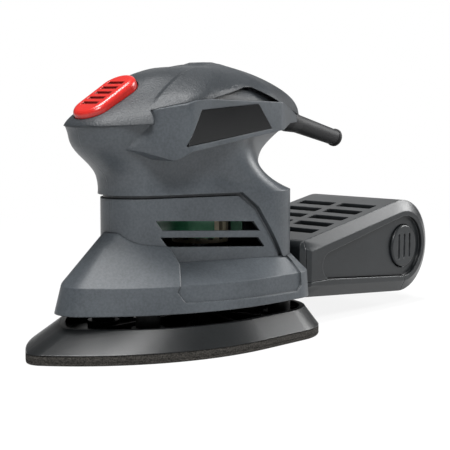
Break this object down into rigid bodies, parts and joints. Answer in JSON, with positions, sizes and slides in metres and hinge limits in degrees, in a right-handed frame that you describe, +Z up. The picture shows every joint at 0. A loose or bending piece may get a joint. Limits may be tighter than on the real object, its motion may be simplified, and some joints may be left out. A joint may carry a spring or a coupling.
{
  "type": "palm sander",
  "caption": "Corded palm sander with an iron-shaped orbital pad, moulded clamshell body, red rocker switch, cord sleeve and a clip-on filtered dust box.",
  "frame": {"origin": "where the motor axis meets the sanding face", "axes": "+Z up along the motor axis, -X towards the tip of the pad, +X towards the dust box"},
  "size_m": [0.2587, 0.105, 0.1305],
  "materials": {
    "shell": "satin moulded, dark slate grey",
    "cover": "fine texture, dark slate grey",
    "key": "glossy red",
    "black_plastic": "matt black",
    "badge": "gloss black, bare",
    "sleeve": "matt black rubber",
    "steel": "turned",
    "inner_plastic": "black moulding",
    "posts": "black rubber",
    "cast": "sintered",
    "laminate": "stacked sheet",
    "insulation": "cream insulation",
    "copper": "copper",
    "winding": "green insulating wrap",
    "carbon": "carbon",
    "pad": "satin charcoal moulding",
    "felt": "rough hook face over foam",
    "box": "semi-gloss dark grey",
    "filter": "dark cloth",
    "button": "satin dark grey"
  },
  "bodies": {
    "housing": {"left_housing": "shell", "right_housing": "shell", "skirt": "shell", "top_cover": "cover", "switch_body": "black_plastic", "left_badge": "badge", "right_badge": "badge", "cord_sleeve": "sleeve", "housing_screws": "steel", "bearing_plate": "inner_plastic", "lower_bearing": "steel", "upper_bearing": "steel", "pad_posts": "posts", "dust_spout": "black_plastic", "stator_core": "laminate", "field_coils": "winding", "brush_bridge": "inner_plastic", "brush_holders": "copper", "carbon_brushes": "carbon"},
    "rotor": {"rotor_shaft": "steel", "counterweight": "cast", "fan": "inner_plastic", "armature_core": "laminate", "armature_coils": "insulation", "commutator": "copper"},
    "pad": {"pad_plate": "pad", "pad_felt": "felt", "eccentric_bearing": "steel"},
    "switch": {"switch_key": "key"},
    "dust_box": {"dust_tray": "box"},
    "box_lid": {"dust_lid": "box", "dust_filter": "filter"},
    "button_left": {"left_button": "button"},
    "button_right": {"right_button": "button"}
  },
  "joints": [
    {"name": "motor_spin", "type": "hinge", "parent": "housing", "child": "rotor", "pos_m": [0, 0, 0.06], "axis": [0, 0, 1], "continuous": true},
    {"name": "pad_orbit", "type": "hinge", "parent": "rotor", "child": "pad", "pos_m": [0.001, 0, 0.01], "axis": [0, 0, 1], "continuous": true},
    {"name": "switch_rocker", "type": "hinge", "parent": "housing", "child": "switch", "pos_m": [-0.06035, 0, 0.11187], "axis": [0, -1, 0], "range_deg": [0, 8]},
    {"name": "box_pull", "type": "slide", "parent": "housing", "child": "dust_box", "axis": [1, 0, 0], "range_m": [0, 0.06]},
    {"name": "lid_lift", "type": "slide", "parent": "dust_box", "child": "box_lid", "axis": [0, 0, 1], "range_m": [0, 0.025]},
    {"name": "left_press", "type": "slide", "parent": "box_lid", "child": "button_left", "axis": [0, 1, 0], "range_m": [0, 0.002], "stiffness_N_per_m": 800},
    {"name": "right_press", "type": "slide", "parent": "box_lid", "child": "button_right", "axis": [0, -1, 0], "range_m": [0, 0.002], "stiffness_N_per_m": 800}
  ],
  "couplings": [
    {"joint": "pad_orbit", "follows": "motor_spin", "ratio": -1}
  ]
}
